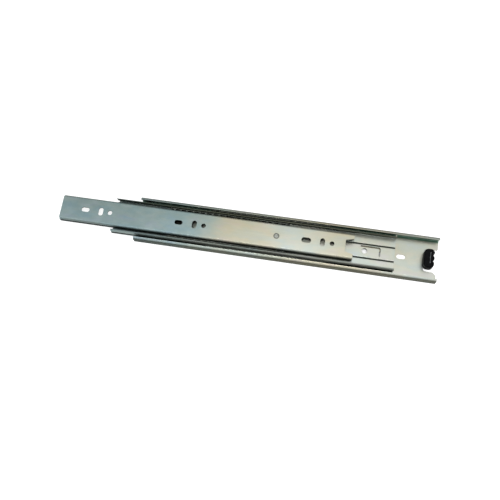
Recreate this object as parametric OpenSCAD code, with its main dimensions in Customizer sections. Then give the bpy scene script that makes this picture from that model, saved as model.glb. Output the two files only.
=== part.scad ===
// Full-extension ball-bearing drawer slide, lying on its back.
// X runs along the slide, with the opening end towards -X. Y runs across the channels.
// Z = 0 is the cabinet member's mounting face. X = 0 is that member's front end.

/* [Size] */
// Length of the cabinet member
slide_length = 300; // [292:1:308]
// Width across the cabinet member's channel
slide_height = 45.5; // [45.3:0.1:45.7]
// Thickness from the cabinet face to the drawer face
slide_depth = 12.7; // [12.6:0.1:13]

/* [Sheet metal] */
// Sheet of the cabinet member and the drawer member
heavy_sheet = 1.2; // [1.1:0.1:1.3]
// Sheet of the intermediate member
light_sheet = 1.0; // [0.9:0.1:1.1]
// Sheet of the ball retainers
cage_sheet = 0.6; // [0.5:0.1:0.7]

/* [Balls] */
// Diameter of every ball
ball_d = 4.0; // [3.9:0.05:4.0]
// Distance between balls in a row
ball_pitch = 6.5; // [6.3:0.1:6.6]
// Balls in each half of a row
half_row = 9; // [6:1:9]

/* [Position] */
// How far the intermediate member stands out of the cabinet member
stage_1_out = 27; // [5:0.5:60]
// How far the drawer member stands out of the intermediate member
stage_2_out = 54; // [20:0.5:80]

/* [Mounting holes] */
// First cabinet screw hole, from the front end
first_hole_x = 37; // [35:0.5:38]
// Spacing of the cabinet screw holes
hole_spacing = 64; // [63:0.5:64]
// Diameter of the cabinet screw holes
screw_hole_d = 6.5; // [6:0.1:7]
// Diameter of the small holes in the drawer member and the rear tongues
small_hole_d = 4.6; // [4.4:0.1:4.8]

/* [Hidden] */
$fn = 48;

steel = [0.72, 0.74, 0.72];
cage_steel = [0.55, 0.57, 0.53];
ball_steel = [0.8, 0.82, 0.84];
black_rubber = [0.05, 0.05, 0.055];
black_plastic = [0.09, 0.09, 0.1];

// Small distances shared by several parts
through = 1;        // how far a cutting tool passes each face
bend_step = 9;      // degrees between the corners that make a rolled bend
running_gap = 0.05; // between a ball and its race
free_gap = 0.3;     // between pieces that pass each other
fit_gap = 0.05;     // between pieces that are fitted together

// Races: a ball row is centred at [y, z], and the sheet wraps round it
ball_r = ball_d / 2;
race_r = ball_r + running_gap;
outer_ball = [slide_height / 2 - heavy_sheet - race_r, 6.5];
heavy_race = race_r + heavy_sheet / 2;
light_race = race_r + light_sheet / 2;
flank_tilt = 8;       // lean of the intermediate flange between its two races
row_step_y = 4.9;     // across, from the outer row to the inner row
row_step_z = 2 * light_race * sin(flank_tilt)
    + (2 * light_race * cos(flank_tilt) - row_step_y) / tan(flank_tilt);
inner_ball = outer_ball + [-row_step_y, row_step_z];
low_wrap = 35;        // how far a race reaches under the outer balls
lip_wrap = 86;        // how far the cabinet lip curls over the outer balls

// Cabinet member
cabinet_web_z = heavy_sheet / 2;
heavy_bend = 1.4;     // bend radius on the middle of the sheet
notch_y = 11.5;       // half width of the notch between the two rear ears
notch_x = slide_length - 13.3;
notch_round = 3.5;
ear_chamfer = 3;      // inner corner of the lower ear
ear_round = 1;        // inner corner of the upper ear
stop_tab = [12, 8.5]; // width and top of the tab that carries the bumper
stop_tab_x = slide_length - 7; // its rear face
tab_foot = 6;         // flat length of the tab before its bend
front_stop_x = 6.8;
front_stop = [3.7, 6.3, 4.4]; // length, reach across the web and height of the folded tab
tongue_y = 9.9;       // outer half width of the slit round a tongue
tongue_front = 10.9;  // from the screw hole to the slit's front edge
tongue_rear = 21;     // from the screw hole to the slit's two ends
tongue_round = 3;
slit_w = 2.3;
slot_size = [8.6, 4.3];
tongue_hole_x = 16;   // from a screw hole to the hole at its tongue's free end
web_hole_x = 36;      // from a screw hole to the hole behind its tongue
locating_d = 5.2;     // the one round hole among those behind the tongues
front_hole_x = 6.3;
front_hole_d = 4;

// Intermediate member
closed_x = 3;         // front end of both moving members when the slide is closed
middle_length = 282.5;
middle_x = closed_x - stage_1_out;
light_bend = 1.2;
middle_corner = outer_ball
    - (light_race + light_bend) * [cos(low_wrap), sin(low_wrap)];
middle_web_z = middle_corner[1] - light_bend;
middle_web_top = middle_web_z + light_sheet / 2;
middle_lip_z = 11.2;
middle_lip_lean = 20;
groove_y = 7.1;       // middle of each long groove
groove_bend = 0.7;
groove_lean = 75;
catch_x = 6.8;        // rear face of the catch, from the member's front end
catch_size = [1, 5.6, 3.9];
catch_window = 5;     // opening left in the web behind the folded catch
hatch_x = 253;        // rear screw access hole, from the front end
hatch_r = 2.8;
hatch_slit_w = 1.6;
hatch_leg = [14.9, 4.6]; // the slit's two legs, from the access hole
hatch_start = -3.4;
hatch_end = -3.5;
hatch_bend = 1.6;
access_x = [34.5, 130]; // screwdriver holes
access_r = 5;
end_nick = [3.6, 5];  // side and width of the cut that eases each end of a flange
end_nick_at = [18.3, middle_web_z - 0.8];
pusher = [2.9, 2.9];  // width and height of the rear end's turned-out bits
pusher_at = [17.1, 4.9];

// Drawer member
drawer_length = 295.4;
drawer_x = middle_x - stage_2_out;
drawer_tip_wrap = 50;
drawer_flank = 6;
drawer_web_z = slide_depth - heavy_sheet / 2;
drawer_end = [8, 5.9, 7.8]; // rear cut-out: depth, half width inside, half width at the mouth
station_x = [25, 121, 249];
station_slot = [[8.2, 4.6], [8.2, 4.6], [9.5, 5.3]];
cross_slot_x = 16;
round_hole_x = 25.4;
cross_slot = [8.2, 4.7];
drawer_corner = 2;

// Ball retainers
cage_length = 120;
outer_cage_x = 86.75 - stage_1_out / 2;
outer_cage_inset = 0.7; // the strip passes inside the cabinet lip, off the ball centres
inner_cage_x = middle_x + 83.5 - stage_2_out / 2;
half_start = 0.75;    // from a retainer's middle to its nearest ball, in ball pitches
collar_r = ball_r + 0.6;
collar_t = 0.9;
cage_window = [42, 21];
cage_window_x = [12, 66];
cage_window_r = 3;
outer_cage_z = [3.4, 9.3];
inner_cage_z = [middle_web_top + free_gap, 10.6];

// Release lever and its rivet
rivet_x = drawer_x + 219.5;
rivet_r = 2;
rivet_disc = [2.9, 0.5]; // radius and thickness of the disc set in the web
rivet_dimple = [1.5, 0.3];
rivet_head = [3.4, 0.7];
head_gap = 0.1;
hub_r = 4.6;
hub_z = [5.6, 11.2];
arm_z = [7.4, 10.2];
hook_x = drawer_x + 157; // front face of the hook
hook = [3, 5.6];
hook_z = inner_cage_z[0] + cage_sheet + 0.25;
finger_tab = [6, 7, 3.6]; // grip pad in front of the hook
finger_tab_z = 7;
rib = [0.8, 0.5];     // width and height of a grip rib
rib_pitch = 2;
spring_r = 6.4;       // bow spring moulded on the arm's lower side
spring_t = 0.9;
spring_at = [15, -2.6]; // in front of the rivet, and across

// Rear bumper
bumper_x = slide_length - 14.1;
bumper_end = slide_length - 4;
bumper_top = 10.9;
ridge_x = slide_length - 8.6;
ridge_top = 12.2;     // the ridge stands in the drawer member's rear cut-out when closed
lobe_r = 3.5;
lobe_y = 6.1;
lobe_web = 2.4;       // half thickness of the rubber between two lobes
bumper_round = 4.5;   // front corners

// ---------------------------------------------------------------- sections

// A sheet is drawn along its middle line as stations: [[y, z], heading].
function bend(centre, r, a0, a1) =
    let (steps = ceil(abs(a1 - a0) / bend_step))
    [for (i = [0 : steps])
        let (a = a0 + (a1 - a0) * i / steps)
        [centre + r * [cos(a), sin(a)], a + 90 * sign(a1 - a0)]];

function both_sides(half) = concat(
    [for (i = [len(half) - 1 : -1 : 0]) [[-half[i][0][0], half[i][0][1]], -half[i][1]]],
    half);

function beside(stations, off) =
    [for (s = stations) s[0] + off * [-sin(s[1]), cos(s[1])]];

function reversed(list) = [for (i = [len(list) - 1 : -1 : 0]) list[i]];

module sheet_section(stations, sheet)
    polygon(concat(beside(stations, sheet / 2), reversed(beside(stations, -sheet / 2))));

// Extrudes a [y, z] section along X
module along_x(x, length)
    translate([x, 0, 0]) rotate([90, 0, 90]) linear_extrude(length) children();

// Extrudes an [x, z] section along Y, centred
module along_y(width)
    translate([0, width / 2, 0]) rotate([90, 0, 0]) linear_extrude(width) children();

// The neck under the cabinet race touches the corner bend and the race
function neck_reach(corner, r) =
    let (d = outer_ball - corner, u = [cos(low_wrap), -sin(low_wrap)], s = r - heavy_bend)
    (d * d - s * s) / (-2 * (d * u) - 2 * s);

function cabinet_half() =
    let (corner = [slide_height / 2 - heavy_sheet / 2 - heavy_bend, cabinet_web_z + heavy_bend],
         reach = neck_reach(corner, heavy_race),
         neck = outer_ball + reach * [cos(low_wrap), -sin(low_wrap)],
         lean = atan2(neck[1] - corner[1], neck[0] - corner[0]))
    concat(
        bend(corner, heavy_bend, -90, lean),
        bend(neck, reach - heavy_race, 180 + lean, 180 - low_wrap),
        bend(outer_ball, heavy_race, -low_wrap, lip_wrap));

function groove() =
    let (w = 2 * groove_bend * sin(groove_lean))
    concat(
        bend([groove_y - w, middle_web_z - groove_bend], groove_bend, 90, 90 - groove_lean),
        bend([groove_y, middle_web_z - groove_bend + 2 * groove_bend * cos(groove_lean)],
             groove_bend, -90 - groove_lean, -90 + groove_lean),
        bend([groove_y + w, middle_web_z - groove_bend], groove_bend, 90 + groove_lean, 90));

function middle_half() =
    let (top = inner_ball + light_race * [cos(middle_lip_lean), sin(middle_lip_lean)],
         rise = middle_lip_z - top[1])
    concat(
        groove(),
        bend(middle_corner, light_bend, -90, low_wrap),
        bend(outer_ball, light_race, 180 + low_wrap, 180 - flank_tilt),
        bend(inner_ball, light_race, -flank_tilt, middle_lip_lean),
        [[top + rise * [-tan(middle_lip_lean), 1], 90 + middle_lip_lean]]);

function drawer_half() =
    let (top = inner_ball + heavy_race * [-cos(drawer_flank), sin(drawer_flank)],
         bend_z = drawer_web_z - heavy_bend,
         rise = bend_z - heavy_bend * sin(drawer_flank) - top[1],
         bend_y = top[0] + rise * tan(drawer_flank) - heavy_bend * cos(drawer_flank))
    concat(
        bend([bend_y, bend_z], heavy_bend, 90, -drawer_flank),
        bend(inner_ball, heavy_race, 180 - drawer_flank, 180 + drawer_tip_wrap));

// ---------------------------------------------------------------- shared shapes

module slot(size) {
    r = min(size) / 2;
    run = [size[0] / 2 - r, size[1] / 2 - r];
    for (s = [-1, 1]) translate(s * run) circle(r);
    square([size[0] == min(size) ? size[0] : size[0] - 2 * r,
            size[1] == min(size) ? size[1] : size[1] - 2 * r], center = true);
}

module rounded_rect(low, high, r) {
    translate(low + [r, 0]) square([high[0] - low[0] - 2 * r, high[1] - low[1]]);
    translate(low + [0, r]) square([high[0] - low[0], high[1] - low[1] - 2 * r]);
    for (x = [low[0] + r, high[0] - r], y = [low[1] + r, high[1] - r])
        translate([x, y]) circle(r);
}

// Cuts through a web that lies between two heights
module punch(z0, z1)
    translate([0, 0, z0 - through]) linear_extrude(z1 - z0 + 2 * through) children();

// What is cut off to round a corner at the origin that faces [+x, +y]
module corner_waste(r)
    difference() {
        translate([-r, -r]) square(r + through);
        translate([-r, -r]) circle(r);
    }

// ---------------------------------------------------------------- cabinet member

module tongue_slit() {
    end_x = tongue_rear - slit_w / 2;
    intersection() {
        difference() {
            rounded_rect([-tongue_front, -tongue_y], [2 * tongue_rear, tongue_y], tongue_round);
            rounded_rect([-tongue_front + slit_w, -tongue_y + slit_w],
                         [2 * tongue_rear, tongue_y - slit_w], tongue_round - slit_w);
        }
        translate([-tongue_front, -tongue_y]) square([tongue_front + end_x, 2 * tongue_y]);
    }
    for (s = [-1, 1]) translate([end_x, s * (tongue_y - slit_w / 2)]) circle(slit_w / 2);
}

module cabinet_holes() {
    for (i = [0 : 3]) translate([first_hole_x + i * hole_spacing, 0]) {
        circle(screw_hole_d / 2);
        tongue_slit();
        translate([tongue_hole_x, 0])
            if (i < 2) slot(slot_size);
            else circle(small_hole_d / 2);
        translate([web_hole_x, 0])
            if (i == 1) circle(locating_d / 2);
            else slot(slot_size);
    }
    translate([front_hole_x, 0]) circle(front_hole_d / 2);
}

// A lanced tab folded up beside the retainer's path, and the window it leaves
module front_stop_window(s)
    translate([front_stop_x, s * (outer_ball[0] - heavy_sheet / 2 - front_stop[1] / 2)])
        square([front_stop[0], front_stop[1]], center = true);

module front_stop_tab(s)
    translate([front_stop_x - front_stop[0] / 2, s * outer_ball[0] - heavy_sheet / 2, 0])
        cube([front_stop[0], heavy_sheet, heavy_sheet + front_stop[2]]);

module rear_stop_section(sheet) {
    centre = [stop_tab_x - heavy_sheet / 2 - heavy_bend, cabinet_web_z + heavy_bend];
    sheet_section(concat(
        [[[centre[0] - tab_foot, cabinet_web_z], 0]],
        bend(centre, heavy_bend, -90, 0),
        [[[centre[0] + heavy_bend, stop_tab[1]], 90]]), sheet);
}

module rear_notch() {
    rounded_rect([notch_x, -notch_y], [slide_length + 2 * notch_round, notch_y], notch_round);
    translate([slide_length, -notch_y]) rotate(45)
        square(ear_chamfer * sqrt(2), center = true);
    translate([slide_length, notch_y]) mirror([0, 1]) corner_waste(ear_round);
}

module cabinet_member() color(steel) {
    difference() {
        along_x(0, slide_length) sheet_section(both_sides(cabinet_half()), heavy_sheet);
        punch(0, heavy_sheet) {
            cabinet_holes();
            rear_notch();
            for (s = [-1, 1]) front_stop_window(s);
        }
    }
    along_y(stop_tab[0]) rear_stop_section(heavy_sheet);
    for (s = [-1, 1]) front_stop_tab(s);
}

// ---------------------------------------------------------------- intermediate member

// An L-shaped slit that frees the corner of a lanced tongue
module hatch_slit() {
    w = hatch_slit_w;
    r = hatch_bend;
    corner = [hatch_leg[0] - r, hatch_leg[1] - r];
    translate([hatch_start, hatch_leg[1] - w / 2]) square([corner[0] - hatch_start, w]);
    translate([hatch_leg[0] - w / 2, hatch_end]) square([w, corner[1] - hatch_end]);
    translate([hatch_start, hatch_leg[1]]) circle(w / 2);
    translate([hatch_leg[0], hatch_end]) circle(w / 2);
    translate(corner) intersection() {
        difference() {
            circle(r + w / 2);
            circle(r - w / 2);
        }
        square(r + w);
    }
}

module middle_holes() {
    translate([hatch_x, 0]) circle(hatch_r);
    translate([hatch_x, 0]) hatch_slit();
    for (x = access_x) translate([x, 0]) circle(access_r);
    translate([catch_x, -catch_size[1] / 2]) square([catch_window, catch_size[1]]);
}

module intermediate_member() color(steel) translate([middle_x, 0, 0]) {
    difference() {
        along_x(0, middle_length) sheet_section(both_sides(middle_half()), light_sheet);
        punch(middle_web_z - light_sheet, middle_web_z + light_sheet) middle_holes();
        for (x = [0, middle_length], s = [-1, 1])
            translate([x, s * end_nick_at[0], end_nick_at[1]]) rotate([0, 45, 0])
                cube([end_nick[0], end_nick[1], end_nick[0]], center = true);
    }
    translate([catch_x - catch_size[0], -catch_size[1] / 2, middle_web_z - light_sheet / 2])
        cube(catch_size);
    for (s = [-1, 1]) rear_pusher(s);
}

// A bit of the flange's rear end turned out, which pushes the outer retainer
module rear_pusher(s)
    mirror([0, s < 0 ? 1 : 0, 0])
        translate([middle_length - light_sheet, pusher_at[0], pusher_at[1]])
            cube([light_sheet, pusher[0], pusher[1]]);

// ---------------------------------------------------------------- drawer member

module station(slot_xy) {
    slot(slot_xy);
    translate([cross_slot_x, 0]) rotate(90) slot(cross_slot);
    translate([round_hole_x, 0]) circle(small_hole_d / 2);
}

drawer_edge_y = drawer_half()[0][0][0] + heavy_bend + heavy_sheet / 2;

module drawer_member() color(steel) translate([drawer_x, 0, 0]) difference() {
    along_x(0, drawer_length) sheet_section(both_sides(drawer_half()), heavy_sheet);
    punch(slide_depth - heavy_sheet, slide_depth) {
        for (i = [0 : 2]) translate([station_x[i], 0]) station(station_slot[i]);
        translate([drawer_length, 0]) polygon([
            [-drawer_end[0], -drawer_end[1]], [0, -drawer_end[2]], [through, -drawer_end[2]],
            [through, drawer_end[2]], [0, drawer_end[2]], [-drawer_end[0], drawer_end[1]]]);
        for (s = [0, 1]) mirror([0, s]) translate([0, drawer_edge_y])
            mirror([1, 0]) corner_waste(drawer_corner);
        translate([rivet_x - drawer_x, 0]) circle(rivet_r + fit_gap);
    }
    translate([rivet_x - drawer_x, 0, slide_depth - rivet_disc[1]])
        cylinder(r = rivet_disc[0] + fit_gap, h = through + rivet_disc[1]);
}

// ---------------------------------------------------------------- ball retainers

function ball_places(half) =
    [for (i = [0 : half_row - 1])
        cage_length / 2 + (half == "front" ? -1 : 1) * (i + half_start) * ball_pitch];

all_places = concat(ball_places("front"), ball_places("rear"));

module cage_side(row, z)
    difference() {
        union() {
            translate([0, row[0] - cage_sheet / 2, z[0]])
                cube([cage_length, cage_sheet, z[1] - z[0]]);
            for (x = all_places) translate([x, row[0] + collar_t / 2, row[1]])
                rotate([90, 0, 0]) cylinder(r = collar_r, h = collar_t);
        }
        for (x = all_places) translate([x, row[0] + through, row[1]])
            rotate([90, 0, 0]) cylinder(r = ball_r + running_gap, h = 2 * through);
    }

module outer_retainer(s) color(cage_steel) translate([outer_cage_x, 0, 0])
    mirror([0, s < 0 ? 1 : 0]) cage_side(outer_ball - [outer_cage_inset, 0], outer_cage_z);

module outer_retainer_upper() outer_retainer(1);
module outer_retainer_lower() outer_retainer(-1);

module inner_retainer() color(cage_steel) translate([inner_cage_x, 0, 0]) {
    for (s = [0, 1]) mirror([0, s]) cage_side(inner_ball, inner_cage_z);
    translate([0, 0, inner_cage_z[0]]) linear_extrude(cage_sheet) difference() {
        half = inner_ball[0] - cage_sheet / 2;
        translate([0, -half]) square([cage_length, 2 * half]);
        for (x = cage_window_x)
            rounded_rect([x, -cage_window[1] / 2], [x + cage_window[0], cage_window[1] / 2],
                         cage_window_r);
    }
}

module balls(row, s, half, x) color(ball_steel)
    for (p = ball_places(half)) translate([x + p, s * row[0], row[1]]) sphere(ball_r);

module outer_balls_upper_front() balls(outer_ball, 1, "front", outer_cage_x);
module outer_balls_upper_rear() balls(outer_ball, 1, "rear", outer_cage_x);
module outer_balls_lower_front() balls(outer_ball, -1, "front", outer_cage_x);
module outer_balls_lower_rear() balls(outer_ball, -1, "rear", outer_cage_x);
module inner_balls_upper_front() balls(inner_ball, 1, "front", inner_cage_x);
module inner_balls_upper_rear() balls(inner_ball, 1, "rear", inner_cage_x);
module inner_balls_lower_front() balls(inner_ball, -1, "front", inner_cage_x);
module inner_balls_lower_rear() balls(inner_ball, -1, "rear", inner_cage_x);

// ---------------------------------------------------------------- rear bumper

module bumper_outline() {
    lobe_x = bumper_end - lobe_r;
    half = lobe_y + lobe_r;
    for (i = [-1 : 1]) translate([lobe_x, i * lobe_y]) circle(lobe_r);
    for (s = [-1, 1])
        translate([bumper_x + bumper_round, s * (half - bumper_round)]) circle(bumper_round);
    translate([bumper_x, bumper_round - half])
        square([lobe_x + lobe_web - bumper_x, 2 * (half - bumper_round)]);
    translate([bumper_x + bumper_round, -half])
        square([lobe_x - bumper_x - bumper_round, 2 * half]);
}

// Half width of the drawer member's rear cut-out at x, with the slide closed
function cut_out_half(x) =
    drawer_end[1] + (x - closed_x - drawer_length + drawer_end[0])
        * (drawer_end[2] - drawer_end[1]) / drawer_end[0];

module ridge_outline() intersection() {
    bumper_outline();
    x = [ridge_x, bumper_end];
    y = [for (i = [0, 1]) cut_out_half(x[i]) - free_gap];
    polygon([[x[0], -y[0]], [x[1], -y[1]], [x[1], y[1]], [x[0], y[0]]]);
}

module rear_bumper() color(black_rubber) difference() {
    wall = heavy_sheet + 2 * fit_gap;
    translate([0, 0, heavy_sheet]) {
        linear_extrude(bumper_top - heavy_sheet) bumper_outline();
        linear_extrude(ridge_top - heavy_sheet) ridge_outline();
    }
    along_y(stop_tab[0] + 2 * fit_gap) rear_stop_section(wall);
    translate([stop_tab_x - heavy_sheet - fit_gap, -stop_tab[0] / 2 - fit_gap, stop_tab[1] - 1])
        cube([wall, stop_tab[0] + 2 * fit_gap, 1 + fit_gap]);
}

// ---------------------------------------------------------------- release lever

module release_lever() color(black_plastic) difference() {
    union() {
        translate([rivet_x, 0, hub_z[0]]) cylinder(r = hub_r, h = hub_z[1] - hub_z[0]);
        translate([0, 0, arm_z[0]]) linear_extrude(arm_z[1] - arm_z[0])
            polygon([[hook_x - 1, -hook[1] / 2], [rivet_x, -hub_r],
                     [rivet_x, hub_r], [hook_x - 1, hook[1] / 2]]);
        translate([hook_x, -hook[1] / 2, hook_z]) cube([hook[0], hook[1], arm_z[0] - hook_z]);
        grip_pad();
        lever_spring();
    }
    translate([rivet_x, 0, 0]) cylinder(r = rivet_r + fit_gap, h = slide_depth);
}

module grip_pad() translate([hook_x - 1 - finger_tab[0], -finger_tab[1] / 2, finger_tab_z]) {
    cube(finger_tab);
    for (i = [0 : 2]) translate([i * rib_pitch, 0, finger_tab[2]])
        cube([rib[0], finger_tab[1], rib[1]]);
}

// A thin bow that presses on the channel wall and swings the lever back
module lever_spring()
    translate([rivet_x - spring_at[0], spring_at[1], arm_z[0]])
        linear_extrude(arm_z[1] - arm_z[0]) intersection() {
            difference() {
                circle(spring_r);
                circle(spring_r - spring_t);
            }
            translate([-spring_r, -spring_r]) square([2 * spring_r, spring_r]);
        }

module lever_rivet() color(ball_steel) translate([rivet_x, 0, 0]) {
    seat_z = slide_depth - rivet_disc[1];
    head_z = hub_z[0] - head_gap;
    difference() {
        translate([0, 0, seat_z]) cylinder(r = rivet_disc[0], h = rivet_disc[1]);
        translate([0, 0, slide_depth - rivet_dimple[1]])
            cylinder(r = rivet_dimple[0], h = rivet_dimple[1] + through);
    }
    translate([0, 0, head_z]) cylinder(r = rivet_r, h = seat_z - head_z);
    translate([0, 0, head_z - rivet_head[1]]) cylinder(r = rivet_head[0], h = rivet_head[1]);
}

cabinet_member();
intermediate_member();
drawer_member();
outer_retainer_upper();
outer_retainer_lower();
inner_retainer();
outer_balls_upper_front();
outer_balls_upper_rear();
outer_balls_lower_front();
outer_balls_lower_rear();
inner_balls_upper_front();
inner_balls_upper_rear();
inner_balls_lower_front();
inner_balls_lower_rear();
rear_bumper();
release_lever();
lever_rivet();
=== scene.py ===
"""Looks of a ball-bearing drawer slide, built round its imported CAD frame. Metres, the frame's own axes:
+X runs to the back of the cabinet, Y crosses the channels, +Z goes from the cabinet side to the drawer."""
import math

import bmesh
import bpy
from mathutils import Matrix, Vector


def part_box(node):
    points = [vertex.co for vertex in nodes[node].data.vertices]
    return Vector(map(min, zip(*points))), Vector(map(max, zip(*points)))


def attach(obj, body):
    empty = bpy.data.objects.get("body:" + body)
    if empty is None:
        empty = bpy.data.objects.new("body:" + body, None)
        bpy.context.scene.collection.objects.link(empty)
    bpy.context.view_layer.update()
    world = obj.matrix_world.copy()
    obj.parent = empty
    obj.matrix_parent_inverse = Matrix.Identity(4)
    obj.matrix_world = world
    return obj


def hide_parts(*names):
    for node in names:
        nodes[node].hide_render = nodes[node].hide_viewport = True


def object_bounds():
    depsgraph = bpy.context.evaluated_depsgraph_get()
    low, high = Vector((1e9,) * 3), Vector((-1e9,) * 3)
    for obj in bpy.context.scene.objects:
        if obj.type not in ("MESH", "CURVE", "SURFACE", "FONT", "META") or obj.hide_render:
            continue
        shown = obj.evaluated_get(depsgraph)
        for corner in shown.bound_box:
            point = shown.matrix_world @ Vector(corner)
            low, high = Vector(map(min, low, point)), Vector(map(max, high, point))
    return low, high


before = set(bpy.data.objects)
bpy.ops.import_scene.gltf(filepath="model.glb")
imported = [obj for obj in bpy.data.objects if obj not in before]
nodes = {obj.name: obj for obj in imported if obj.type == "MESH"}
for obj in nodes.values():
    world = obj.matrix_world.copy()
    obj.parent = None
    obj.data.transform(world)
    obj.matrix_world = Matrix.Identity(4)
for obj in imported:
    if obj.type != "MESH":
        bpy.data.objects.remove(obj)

CAD_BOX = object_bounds()
MM = 0.001
scene = bpy.context.scene

BALLS = [n for n in nodes if "_balls_" in n]
CAGES = [n for n in nodes if "_retainer" in n]


# ---------------------------------------------------------------- node helpers

class Shader:
    """A material's node tree, with one short method for each kind of node that the looks need."""

    def __init__(self, name):
        self.material = bpy.data.materials.new(name)
        self.material.use_nodes = True
        self.tree = self.material.node_tree
        self.tree.nodes.clear()
        self.output = self.node("ShaderNodeOutputMaterial")
        self.surface = self.node("ShaderNodeBsdfPrincipled")
        self.link(self.surface.outputs["BSDF"], self.output.inputs["Surface"])
        self.place = self.node("ShaderNodeTexCoord").outputs["Object"]

    def node(self, kind, **settings):
        made = self.tree.nodes.new(kind)
        for key, value in settings.items():
            setattr(made, key, value)
        return made

    def link(self, source, target):
        self.tree.links.new(source, target)

    def feed(self, socket, value):
        """Sets a socket, or links it where value is another node's output."""
        if isinstance(value, bpy.types.NodeSocket):
            self.link(value, socket)
        else:
            socket.default_value = value

    def math(self, operation, a, b=0.0):
        made = self.node("ShaderNodeMath", operation=operation)
        for socket, value in zip(made.inputs, (a, b)):
            self.feed(socket, value)
        return made.outputs[0]

    def spread(self, value, low, high, to_low=0.0, to_high=1.0, smooth=True):
        """Maps low..high onto to_low..to_high, clamped."""
        made = self.node("ShaderNodeMapRange",
                         interpolation_type="SMOOTHSTEP" if smooth else "LINEAR")
        for name, number in (("Value", value), ("From Min", low), ("From Max", high),
                             ("To Min", to_low), ("To Max", to_high)):
            self.feed(made.inputs[name], number)
        return made.outputs["Result"]

    def stretched(self, scale, offset=(0, 0, 0)):
        made = self.node("ShaderNodeMapping")
        made.inputs["Scale"].default_value = scale
        made.inputs["Location"].default_value = offset
        self.link(self.place, made.inputs["Vector"])
        return made.outputs["Vector"]

    def noise(self, scale, detail=2.0, rough=0.5, offset=(0, 0, 0)):
        """Noise in object space. scale gives cycles per metre along X, Y and Z."""
        made = self.node("ShaderNodeTexNoise")
        self.link(self.stretched(scale, offset), made.inputs["Vector"])
        made.inputs["Scale"].default_value = 1.0
        made.inputs["Detail"].default_value = detail
        made.inputs["Roughness"].default_value = rough
        return made.outputs["Fac"]

    def ramp(self, value, stops):
        made = self.node("ShaderNodeValToRGB")
        made.color_ramp.interpolation = "EASE"
        elements = made.color_ramp.elements
        while len(elements) > 1:
            elements.remove(elements[-1])
        for i, (at, colour) in enumerate(stops):
            stop = elements[0] if i == 0 else elements.new(at)
            stop.position = at
            stop.color = (*colour, 1.0)
        self.feed(made.inputs["Fac"], value)
        return made.outputs["Color"]

    def mix(self, share, a, b, blend="MIX"):
        made = self.node("ShaderNodeMix", data_type="RGBA", blend_type=blend, clamp_factor=True)
        colours = [s for s in made.inputs if s.type == "RGBA"]
        self.feed(made.inputs["Factor"], share)
        for socket, value in zip(colours, (a, b)):
            self.feed(socket, (*value, 1.0) if isinstance(value, tuple) else value)
        return next(s for s in made.outputs if s.type == "RGBA")

    def axes(self):
        made = self.node("ShaderNodeSeparateXYZ")
        self.link(self.place, made.inputs[0])
        return made.outputs

    def lean(self, y):
        """How far a face leans from level: 0 on a web, 1 on an upright flank. Given first for faces
        that look into the channel, then for faces that look out of it, then for any slight lean."""
        made = self.node("ShaderNodeSeparateXYZ")
        self.link(self.node("ShaderNodeNewGeometry").outputs["Normal"], made.inputs[0])
        out = self.math("MULTIPLY", made.outputs["Y"], self.math("SIGN", y))
        tilt = self.spread(self.math("ABSOLUTE", made.outputs["Y"]), 0.03, 0.30)
        return self.spread(out, -0.30, -0.75), self.spread(out, 0.45, 0.90), tilt

    def band(self, value, middle, half, soft):
        """1 within half of middle, falling to 0 over soft."""
        off = self.math("ABSOLUTE", self.math("SUBTRACT", value, middle))
        return self.spread(off, half + soft, half)

    def bump(self, height, strength, distance):
        made = self.node("ShaderNodeBump")
        made.inputs["Strength"].default_value = strength
        made.inputs["Distance"].default_value = distance
        self.link(height, made.inputs["Height"])
        self.link(made.outputs["Normal"], self.surface.inputs["Normal"])

    def edges(self, radius):
        """1 on a rounded edge, 0 on a flat: how far the bevelled normal turns from the true one."""
        bevel = self.node("ShaderNodeBevel", samples=4)
        bevel.inputs["Radius"].default_value = radius
        true = self.node("ShaderNodeNewGeometry").outputs["Normal"]
        dot = self.node("ShaderNodeVectorMath", operation="DOT_PRODUCT")
        self.link(bevel.outputs["Normal"], dot.inputs[0])
        self.link(true, dot.inputs[1])
        return self.spread(dot.outputs["Value"], 0.985, 0.80)

    def set(self, **values):
        for name, value in values.items():
            self.feed(self.surface.inputs[SOCKETS.get(name, name.capitalize())], value)


SOCKETS = {"base": "Base Color", "ior": "IOR", "specular": "Specular IOR Level",
           "glow": "Emission Color", "glow_strength": "Emission Strength"}


# ---------------------------------------------------------------- materials

# Zinc plate under a clear blue passivation: its tint drifts along each rail, from cool to warm
COOL = (0.225, 0.285, 0.305)
PALE = (0.32, 0.34, 0.32)
WARM = (0.37, 0.345, 0.285)
SILVER = (0.38, 0.39, 0.375)
SHADED = (0.16, 0.18, 0.15)
GREASE_AND_SHADE = (0.010, 0.012, 0.009)
VERDANT = (0.095, 0.175, 0.130)
GROOVE_SHADE = (0.028, 0.036, 0.030)
EDGE_DARK = (0.14, 0.145, 0.13)
FAR_SIDE_SHADE = (0.80, 0.76, 0.66)
REACHED_X = 250 * MM  # no ball runs behind this; the grease and the painted shade in the channel stop here


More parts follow.
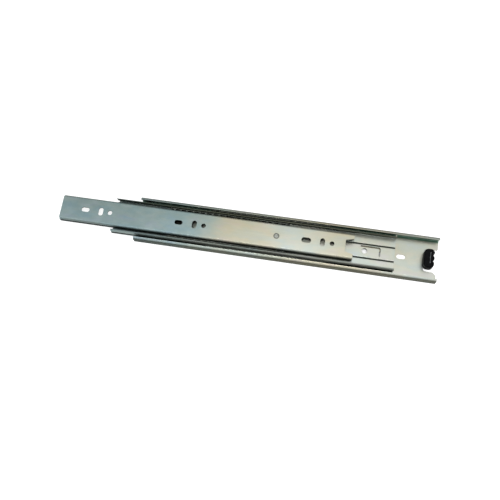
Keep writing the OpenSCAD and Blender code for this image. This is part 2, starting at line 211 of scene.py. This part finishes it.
def zinc_plate(name, tints, seed, races, flank, grooves=None, corner=None, rim=None, gloss=0.36):
    """Rolled, zinc-plated strip. tints are (x in metres, colour) along the rail. races lists the
    (y, z, radius) of its ball tracks, darkened with grease and painted shade. flank is the painted
    shade and dark reflection multiplied on the outward flanks. grooves is the (y, half width, z) of
    pressed grooves, painted with shade below z. corner is the (y, z) beyond and below which the
    channel's corner is green and darkened with painted shade. rim is the height above which the far
    lip is darkened with painted shade."""
    s = Shader(name)
    x, y, z = s.axes()[0:3]
    side = s.math("ABSOLUTE", y)
    first, last = tints[0][0], tints[-1][0]
    drift = s.noise((14, 45, 45), 2.0, 0.5, (seed, 0, 0))
    along = s.math("ADD", s.spread(x, first, last, smooth=False),
                   s.spread(drift, 0.3, 0.7, -0.05, 0.05, smooth=False))
    plate = s.ramp(along, [((at - first) / (last - first), c) for at, c in tints])

    film = s.noise((38, 90, 90), 3.0, 0.6, (0, seed, 0))
    tint = s.ramp(film, [(0.30, (0.84, 0.95, 1.06)), (0.44, (0.90, 0.98, 0.90)),
                         (0.54, (1.06, 1.01, 0.84)), (0.64, (1.08, 0.96, 0.94)),
                         (0.76, (0.86, 0.97, 1.04))])
    plate = s.mix(0.45, plate, tint, "MULTIPLY")

    grain = s.noise((30, 3200, 3200), 3.0, 0.65, (seed, seed, 0))
    plate = s.mix(s.spread(grain, 0.25, 0.75, 0.0, 0.12), plate, (0.40, 0.42, 0.41), "MULTIPLY")
    cloud = s.noise((90, 150, 150), 4.0, 0.6, (seed, 0, seed))
    plate = s.mix(s.spread(cloud, 0.35, 0.75, 0.0, 0.12), plate, (0.46, 0.47, 0.46))

    # darkens the rounded sheet edges in noisy patches
    dark_edge = s.math("MULTIPLY", s.edges(0.25 * MM),
                  s.spread(s.noise((160, 420, 420), 3.0), 0.38, 0.62, 0.25, 1.0))
    plate = s.mix(s.math("MULTIPLY", dark_edge, 0.40), plate, EDGE_DARK)
    # painted shade: the far (+Y) half of each web is darkened and warmed
    far_side_shade = s.spread(y, -14 * MM, 14 * MM, 0.0, 0.42)
    plate = s.mix(far_side_shade, plate, FAR_SIDE_SHADE, "MULTIPLY")

    rough = s.math("ADD", s.spread(grain, 0.2, 0.8, gloss - 0.04, gloss + 0.04),
                   s.spread(cloud, 0.35, 0.75, 0.0, 0.06))
    smear = s.spread(s.noise((45, 700, 700), 3.0, 0.6, (0, 0, seed)), 0.30, 0.60, 0.70, 1.0)
    inner, outer, tilt = s.lean(y)
    reached = s.spread(x, REACHED_X + 12 * MM, REACHED_X)
    rough = s.math("ADD", rough, s.math("MULTIPLY", tilt, 0.22))
    plate = s.mix(s.math("MULTIPLY", inner, reached), plate, SHADED, "MULTIPLY")
    # painted shade and dark reflection on the faces that look out of the channel
    plate = s.mix(outer, plate, flank, "MULTIPLY")
    if rim:
        # painted shade on the far lip above rim
        far_lip_shade = s.math("MULTIPLY", s.spread(z, rim - 0.3 * MM, rim), s.spread(y, -5 * MM, 5 * MM))
        plate = s.mix(far_lip_shade, plate, (0.16, 0.165, 0.14), "MULTIPLY")
    if corner:
        # green tone with painted shade in the channel's corner, under the lip
        green_stain_and_shade = s.math("MULTIPLY", s.spread(side, corner[0], corner[0] + 0.9 * MM),
                       s.spread(z, corner[1], corner[1] - 1.2 * MM))
        inside = s.math("MULTIPLY", s.math("SUBTRACT", 1.0, outer), s.spread(z, 0.3 * MM, 0.9 * MM))
        green_stain_and_shade = s.math("MULTIPLY", green_stain_and_shade, inside)
        plate = s.mix(s.math("MULTIPLY", green_stain_and_shade, 0.9), plate, VERDANT)
    # grease together with painted shade in the ball tracks
    grease_and_shade = None
    for row_y, row_z, radius in races:
        dy = s.math("SUBTRACT", side, row_y)
        dz = s.math("SUBTRACT", z, row_z)
        far = s.math("SQRT", s.math("ADD", s.math("MULTIPLY", dy, dy),
                                    s.math("MULTIPLY", dz, dz)))
        near = s.spread(far, radius + 0.50 * MM, radius + 0.20 * MM)
        grease_and_shade = near if grease_and_shade is None else s.math("MAXIMUM", grease_and_shade, near)
    grease_and_shade = s.math("MULTIPLY", s.math("MULTIPLY", grease_and_shade, smear), reached)
    plate = s.mix(s.math("MULTIPLY", grease_and_shade, 0.92), plate, GREASE_AND_SHADE)
    if grooves:
        groove_y, half, top = grooves
        # painted shade in the bottoms of the pressed grooves
        groove_shade = s.math("MULTIPLY", s.band(side, groove_y, half, 0.3 * MM),
                      s.spread(z, top, top - 0.30 * MM))
        plate = s.mix(s.math("MULTIPLY", groove_shade, 0.85), plate, GROOVE_SHADE)
    s.set(base=plate, metallic=1.0, roughness=rough)
    wave = s.noise((9, 60, 60), 1.0, 0.4, (seed, 0, 0))
    height = s.math("ADD", s.math("MULTIPLY", grain, 0.10), s.math("MULTIPLY", wave, 0.5))
    s.bump(height, 0.18, 0.10 * MM)
    return s.material


def cage_steel():
    s = Shader("retainer_steel")
    smear = s.noise((60, 420, 420), 3.0, 0.6)
    base = s.ramp(smear, [(0.35, (0.025, 0.027, 0.022)), (0.55, (0.046, 0.049, 0.041)),
                          (0.75, (0.09, 0.093, 0.083))])
    base = s.mix(s.math("MULTIPLY", s.edges(0.12 * MM), 0.4), base, (0.22, 0.225, 0.21))
    s.set(base=base, metallic=1.0, roughness=s.spread(smear, 0.3, 0.7, 0.30, 0.46))
    s.bump(s.noise((1500, 1500, 1500), 2.0), 0.12, 0.05 * MM)
    return s.material


def ball_steel():
    """Bearing balls, near black, lighter in patches."""
    s = Shader("ball_steel")
    film = s.noise((340, 340, 340), 3.0, 0.6)
    base = s.ramp(film, [(0.40, (0.030, 0.032, 0.027)), (0.56, (0.065, 0.068, 0.06)),
                         (0.74, (0.24, 0.245, 0.235))])
    s.set(base=base, metallic=1.0, roughness=s.spread(film, 0.35, 0.7, 0.10, 0.30))
    s.bump(s.noise((900, 900, 900), 2.0), 0.03, 0.05 * MM)
    return s.material


def rivet_steel():
    s = Shader("rivet_steel")
    x, y = s.axes()[0:2]
    low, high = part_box("lever_rivet")
    centre = (low + high) / 2
    dx, dy = s.math("SUBTRACT", x, centre.x), s.math("SUBTRACT", y, centre.y)
    radius = s.math("SQRT", s.math("ADD", s.math("MULTIPLY", dx, dx), s.math("MULTIPLY", dy, dy)))
    rings = s.math("SINE", s.math("MULTIPLY", radius, 2 * math.pi / (0.22 * MM)))
    base = s.ramp(s.noise((500, 500, 500), 3.0), [(0.35, (0.17, 0.172, 0.155)),
                                                  (0.65, (0.27, 0.27, 0.25))])
    rim = s.spread(s.math("ABSOLUTE", s.math("SUBTRACT", radius, 2.45 * MM)), 0.75 * MM, 0.3 * MM)
    base = s.mix(s.math("MULTIPLY", rim, 0.8), base, (0.07, 0.072, 0.06))
    s.set(base=base, metallic=1.0, roughness=0.34)
    s.bump(rings, 0.10, 0.03 * MM)
    return s.material


def black_rubber():
    """Soft moulded rubber, with a painted highlight: a grey line along the front of its ridge."""
    s = Shader("black_rubber")
    x, y, z = s.axes()[0:3]
    bloom = s.noise((260, 260, 260), 4.0, 0.6)
    base = s.ramp(bloom, [(0.35, (0.0015, 0.0015, 0.002)), (0.60, (0.003, 0.003, 0.0035)),
                          (0.80, (0.006, 0.006, 0.0065))])
    # painted highlight along the front edge of the ridge
    ridge_highlight = s.math("MULTIPLY", s.band(x, RIDGE_X + 0.2 * MM, 0.25 * MM, 0.25 * MM),
                   s.math("MULTIPLY", s.band(y, 0.0, 5.6 * MM, 1.2 * MM),
                          s.spread(z, 11.0 * MM, 11.6 * MM)))
    ridge_highlight = s.math("MULTIPLY", ridge_highlight, s.spread(bloom, 0.35, 0.65, 0.45, 1.0))
    base = s.mix(ridge_highlight, base, (0.24, 0.24, 0.25))
    s.set(base=base, roughness=s.spread(bloom, 0.3, 0.7, 0.42, 0.58), specular=0.04)
    fine = s.noise((2600, 2600, 2600), 3.0, 0.6)
    s.bump(fine, 0.25, 0.05 * MM)
    return s.material


def moulded_plastic():
    s = Shader("moulded_plastic")
    dust = s.noise((180, 320, 320), 4.0, 0.6)
    base = s.ramp(dust, [(0.35, (0.008, 0.008, 0.009)), (0.75, (0.020, 0.020, 0.021))])
    base = s.mix(s.math("MULTIPLY", s.edges(0.2 * MM), 0.5), base, (0.042, 0.042, 0.044))
    s.set(base=base, roughness=s.spread(dust, 0.3, 0.7, 0.40, 0.55), ior=1.49)
    pebble = s.node("ShaderNodeTexVoronoi")
    pebble.inputs["Scale"].default_value = 3400.0
    s.link(s.place, pebble.inputs["Vector"])
    s.bump(pebble.outputs["Distance"], 0.30, 0.04 * MM)
    return s.material


def pale_floor():
    """Lit paper. Its glow stands for far light, which does not reach down a narrow slit."""
    s = Shader("pale_floor")
    near = s.node("ShaderNodeAmbientOcclusion", samples=12)
    near.inputs["Distance"].default_value = 6 * MM
    open_sky = s.spread(near.outputs["AO"], 0.24, 0.44)
    paper = s.noise((220, 220, 220), 3.0, 0.6)
    base = s.ramp(paper, [(0.3, (0.34, 0.34, 0.338)), (0.7, (0.36, 0.36, 0.358))])
    s.set(base=base, roughness=0.85, specular=0.1, glow=(1.0, 1.0, 1.0, 1.0),
          glow_strength=s.math("MULTIPLY", open_sky, 0.84))
    s.bump(paper, 0.05, 0.2 * MM)
    return s.material


# ---------------------------------------------------------------- sheet and CAD finish

def smooth_by_angle():
    """A geometry group that shades a mesh smooth and keeps edges over its angle sharp."""
    tree = bpy.data.node_groups.new("smooth_by_angle", "GeometryNodeTree")
    tree.interface.new_socket("Geometry", in_out="INPUT", socket_type="NodeSocketGeometry")
    tree.interface.new_socket("Geometry", in_out="OUTPUT", socket_type="NodeSocketGeometry")
    start, end = tree.nodes.new("NodeGroupInput"), tree.nodes.new("NodeGroupOutput")
    angle = tree.nodes.new("GeometryNodeInputMeshEdgeAngle")
    compare = tree.nodes.new("FunctionNodeCompare")
    compare.operation = "GREATER_THAN"
    compare.inputs[1].default_value = math.radians(SHARP_DEG)
    normals = tree.nodes.new("GeometryNodeSetMeshNormal")
    normals.mode = "SHARPNESS"
    normals.inputs["Remove Custom"].default_value = True
    tree.links.new(angle.outputs["Unsigned Angle"], compare.inputs[0])
    tree.links.new(start.outputs[0], normals.inputs["Mesh"])
    tree.links.new(compare.outputs[0], normals.inputs["Edge Sharpness"])
    tree.links.new(normals.outputs["Mesh"], end.inputs[0])
    return tree


SHARP_DEG, BEVEL_DEG, FLAT_DEG = 32, 40, 0.5  # kept sharp, rounded, and merged as flat
WELD_GAP = 0.002 * MM
SMOOTH = smooth_by_angle()


def shade_smooth(obj):
    """Shades obj smooth up to the sharp angle. Wide faces keep their own normals, so webs stay flat."""
    smooth = obj.modifiers.new("smooth", "NODES")
    smooth.node_group = SMOOTH
    weigh = obj.modifiers.new("weigh", "WEIGHTED_NORMAL")
    weigh.mode = "FACE_AREA"
    weigh.weight = 90
    weigh.keep_sharp = True


def dress(name, material, edge=0.0):
    """Gives a CAD node its material, rounds its sharp edges and shades it smooth."""
    obj = nodes[name]
    for slot in obj.material_slots:
        slot.material = material
    weld = obj.modifiers.new("weld", "WELD")
    weld.merge_threshold = WELD_GAP
    if edge:
        flat = obj.modifiers.new("flat", "DECIMATE")
        flat.decimate_type = "DISSOLVE"
        flat.angle_limit = math.radians(FLAT_DEG)
        bevel = obj.modifiers.new("edge", "BEVEL")
        bevel.width = edge
        bevel.segments = 2
        bevel.limit_method = "ANGLE"
        bevel.angle_limit = math.radians(BEVEL_DEG)
        bevel.miter_outer = "MITER_ARC"
    shade_smooth(obj)


# ---------------------------------------------------------------- rear bumper

BUMPER_LOW, BUMPER_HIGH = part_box("rear_bumper")
RIDGE_X = BUMPER_HIGH.x - 4.6 * MM  # front of the ridge that stands on the bumper
BUMPER_TOP, ROUND_OVER = 10.9 * MM, 1.9 * MM
PARTING_Z = 5.6 * MM  # height of the mould's parting line


def circle_exit(start, way, centre, radius):
    """How far a ray from start goes before it last leaves a circle, or 0 if it misses it."""
    to = centre - start
    along = to.dot(way)
    root = along * along - to.length_squared + radius * radius
    return along + math.sqrt(root) if root > 0 else 0.0


def box_exit(start, way, low, high):
    """How far a ray from start, inside a rectangle, goes before it leaves it."""
    return min((high[i] if way[i] > 0 else low[i]) / way[i] - start[i] / way[i]
               for i in (0, 1) if abs(way[i]) > 1e-9)


def bumper_reach(start, way):
    """Distance from start to the bumper's outline: three lobes behind, round corners in front."""
    lobe, step, corner, web = 3.5 * MM, 6.1 * MM, 4.5 * MM, 2.4 * MM
    x0, x1, half = BUMPER_LOW.x, BUMPER_HIGH.x - lobe, BUMPER_HIGH.y
    circles = [(Vector((x1, i * step)), lobe) for i in (-1, 0, 1)]
    circles += [(Vector((x0 + corner, i * (half - corner))), corner) for i in (-1, 1)]
    boxes = [((x0, corner - half), (x1 + web, half - corner)), ((x0 + corner, -half), (x1, half))]
    return max([circle_exit(start, way, c, r) for c, r in circles]
               + [box_exit(start, way, low, high) for low, high in boxes])


def ease(value):
    value = min(max(value, 0.0), 1.0)
    return value * value * (3 - 2 * value)


def bumper_top(x, y, depth):
    """Height of the top at x and y, depth in from the outline: rounded over, with the ridge behind."""
    rise = BUMPER_HIGH.z - BUMPER_TOP
    width = 5.8 * MM + (x - RIDGE_X) * 0.24
    ridge = ease((x - RIDGE_X) / (0.55 * MM)) * ease((width - abs(y)) / (0.7 * MM))
    edge = min(depth / ROUND_OVER, 1.0)
    return BUMPER_TOP + rise * ridge - ROUND_OVER * (1 - math.sqrt(1 - (1 - edge) ** 2))


def build_bumper():
    """A closed rubber moulding: flat foot, upright wall with a parting line, rounded top and ridge."""
    turns, rings = 224, 46
    start = Vector(((BUMPER_LOW.x + BUMPER_HIGH.x) / 2, 0.0))
    foot = BUMPER_LOW.z + 0.03 * MM
    ways = [Vector((math.cos(a), math.sin(a))) for a in (2 * math.pi * i / turns for i in range(turns))]
    reaches = [bumper_reach(start, way) for way in ways]
    wall = [(0.45 * MM, foot), (0.16 * MM, foot + 0.12 * MM), (0.02 * MM, foot + 0.42 * MM),
            (0.0, PARTING_Z - 0.22 * MM), (0.0, PARTING_Z - 0.10 * MM), (0.10 * MM, PARTING_Z),
            (0.0, PARTING_Z + 0.10 * MM), (0.0, PARTING_Z + 0.22 * MM), (0.0, 8.0 * MM)]
    mesh = bmesh.new()
    loops = []
    for inset, height in wall:
        loops.append([mesh.verts.new((*(start + way * (reach - inset)), height))
                      for way, reach in zip(ways, reaches)])
    for i in range(1, rings):
        share = 1 - math.cos(0.5 * math.pi * i / rings)  # rings crowd towards the outline
        loop = []
        for way, reach in zip(ways, reaches):
            depth = reach * share
            x, y = start + way * (reach - depth)
            loop.append(mesh.verts.new((x, y, bumper_top(x, y, depth))))
        loops.append(loop)
    for low, high in zip(loops, loops[1:]):
        for i in range(turns):
            k = (i + 1) % turns
            mesh.faces.new((low[i], low[k], high[k], high[i]))
    peak = mesh.verts.new((*start, bumper_top(*start, min(reaches))))
    base = mesh.verts.new((*start, foot))
    for i in range(turns):
        k = (i + 1) % turns
        mesh.faces.new((loops[-1][i], loops[-1][k], peak))
        mesh.faces.new((loops[0][k], loops[0][i], base))
    data = bpy.data.meshes.new("bumper_rubber")
    mesh.to_mesh(data)
    mesh.free()
    data.materials.append(black_rubber())
    obj = bpy.data.objects.new("bumper_rubber", data)
    scene.collection.objects.link(obj)
    shade_smooth(obj)
    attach(obj, "cabinet")
    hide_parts("rear_bumper")


# ---------------------------------------------------------------- stage, light and camera

FLOOR_HALF = 4.0
FLOOR_DROP = 0.05 * MM


def make_floor():
    far = FLOOR_HALF
    mesh = bpy.data.meshes.new("floor")
    corners = [(-far, -far, 0), (far, -far, 0), (far, far, 0), (-far, far, 0)]
    mesh.from_pydata(corners, [], [(0, 1, 2, 3)])
    floor = bpy.data.objects.new("floor", mesh)
    floor.location.z = CAD_BOX[0].z - FLOOR_DROP
    scene.collection.objects.link(floor)
    mesh.materials.append(pale_floor())


def soft_light(name, place, target, size, watts, colour):
    lamp = bpy.data.lights.new(name, "AREA")
    lamp.shape = "RECTANGLE"
    lamp.size, lamp.size_y = size
    lamp.energy = watts
    lamp.color = colour
    obj = bpy.data.objects.new(name, lamp)
    obj.location = place
    obj.rotation_euler = (Vector(target) - Vector(place)).to_track_quat("-Z", "Y").to_euler()
    scene.collection.objects.link(obj)


SKY = (0.84, 0.95, 1.0, 1.0)
SKY_FADE = (0.10, 0.75, 0.06, 0.80)  # from and to height, and the sky's strength at each


MIDDLE = (0.12, 0.0, 0.0)
LAMPS = [  # name, place, target, size, watts, colour
    ("sweep", (0.62, 0.35, 1.0), (0.45, 0.30, 0.0), (1.3, 1.6), 5.6, (1.0, 0.96, 0.88)),
    ("key", (0.13, -0.10, 1.25), MIDDLE, (0.22, 0.22), 3.6, (1.0, 0.99, 0.96)),
    ("front", (0.1, -0.95, 0.95), MIDDLE, (2.2, 0.9), 8.0, (1.0, 0.99, 0.97)),
    ("left", (-1.5, 0.2, 0.9), MIDDLE, (0.9, 2.0), 9.0, (0.92, 0.97, 1.0)),
    ("right", (1.9, -0.2, 0.7), MIDDLE, (0.8, 1.8), 7.0, (1.0, 0.97, 0.93)),
]


def light_studio():
    world = bpy.data.worlds.new("studio")
    world.use_nodes = True
    tree = world.node_tree
    back = tree.nodes["Background"]
    place = tree.nodes.new("ShaderNodeTexCoord")
    split = tree.nodes.new("ShaderNodeSeparateXYZ")
    dim = tree.nodes.new("ShaderNodeMapRange")
    dim.interpolation_type = "SMOOTHSTEP"
    for name, number in zip(("From Min", "From Max", "To Min", "To Max"), SKY_FADE):
        dim.inputs[name].default_value = number
    tree.links.new(place.outputs["Generated"], split.inputs[0])
    tree.links.new(split.outputs["Z"], dim.inputs["Value"])
    tree.links.new(dim.outputs["Result"], back.inputs["Strength"])
    back.inputs["Color"].default_value = SKY
    scene.world = world
    for lamp in LAMPS:
        soft_light(*lamp)


LENS = 48.92
CAMERA_PLACE = (0.1765, -0.2002, 0.6497)
CAMERA_FORWARD = (-0.0878, 0.2739, -0.9577)
CAMERA_UP = (-0.1392, 0.9486, 0.2841)


def make_camera():
    """The photograph's viewpoint: above the slide and a little in front, tilted a few degrees."""
    data = bpy.data.cameras.new("camera")
    data.sensor_width = 36.0
    data.lens = LENS
    data.clip_start, data.clip_end = 0.02, 20.0
    cam = bpy.data.objects.new("camera", data)
    forward = Vector(CAMERA_FORWARD).normalized()
    up = Vector(CAMERA_UP)
    right = forward.cross(up).normalized()
    up = right.cross(forward)
    turn = Matrix((right, up, -forward)).transposed().to_4x4()
    cam.matrix_world = Matrix.Translation(CAMERA_PLACE) @ turn
    scene.collection.objects.link(cam)
    scene.camera = cam


# ---------------------------------------------------------------- build

make_camera()
make_floor()
light_studio()
scene.view_settings.view_transform = "Standard"


def ball_row(name):
    """(y, z, radius) of the ball row that a ball node belongs to."""
    low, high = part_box(name)
    middle = (low + high) / 2
    return abs(middle.y), middle.z, (high.z - low.z) / 2


OUTER_ROW = ball_row("outer_balls_upper_front")
INNER_ROW = ball_row("inner_balls_upper_front")
GROOVES = (7.1 * MM, 1.35 * MM, 3.60 * MM)

cabinet_plate = zinc_plate("cabinet_plate", [(0.0, COOL), (0.09, PALE), (0.2, WARM), (0.3, SILVER)],
                           3.1, [OUTER_ROW], (0.26, 0.26, 0.22), corner=(18.6 * MM, 5.6 * MM),
                           gloss=0.30)
middle_plate = zinc_plate("intermediate_plate", [(-0.024, COOL), (0.1, PALE), (0.2, SILVER),
                                                 (0.26, SILVER)], 7.7, [OUTER_ROW, INNER_ROW],
                          (1.0, 1.0, 0.97), grooves=GROOVES, rim=10.9 * MM, gloss=0.30)
drawer_plate = zinc_plate("drawer_plate", [(-0.078, COOL), (0.055, COOL), (0.115, WARM),
                                           (0.15, SILVER), (0.218, WARM)], 1.9, [INNER_ROW],
                          (0.70, 0.71, 0.68))
dress("cabinet_member", cabinet_plate, 0.12 * MM)
dress("intermediate_member", middle_plate, 0.10 * MM)
dress("drawer_member", drawer_plate, 0.12 * MM)
cage = cage_steel()
for name in CAGES:
    dress(name, cage, 0.05 * MM)
ball = ball_steel()
for name in BALLS:
    dress(name, ball)
dress("lever_rivet", rivet_steel(), 0.08 * MM)
dress("release_lever", moulded_plastic(), 0.15 * MM)
build_bumper()
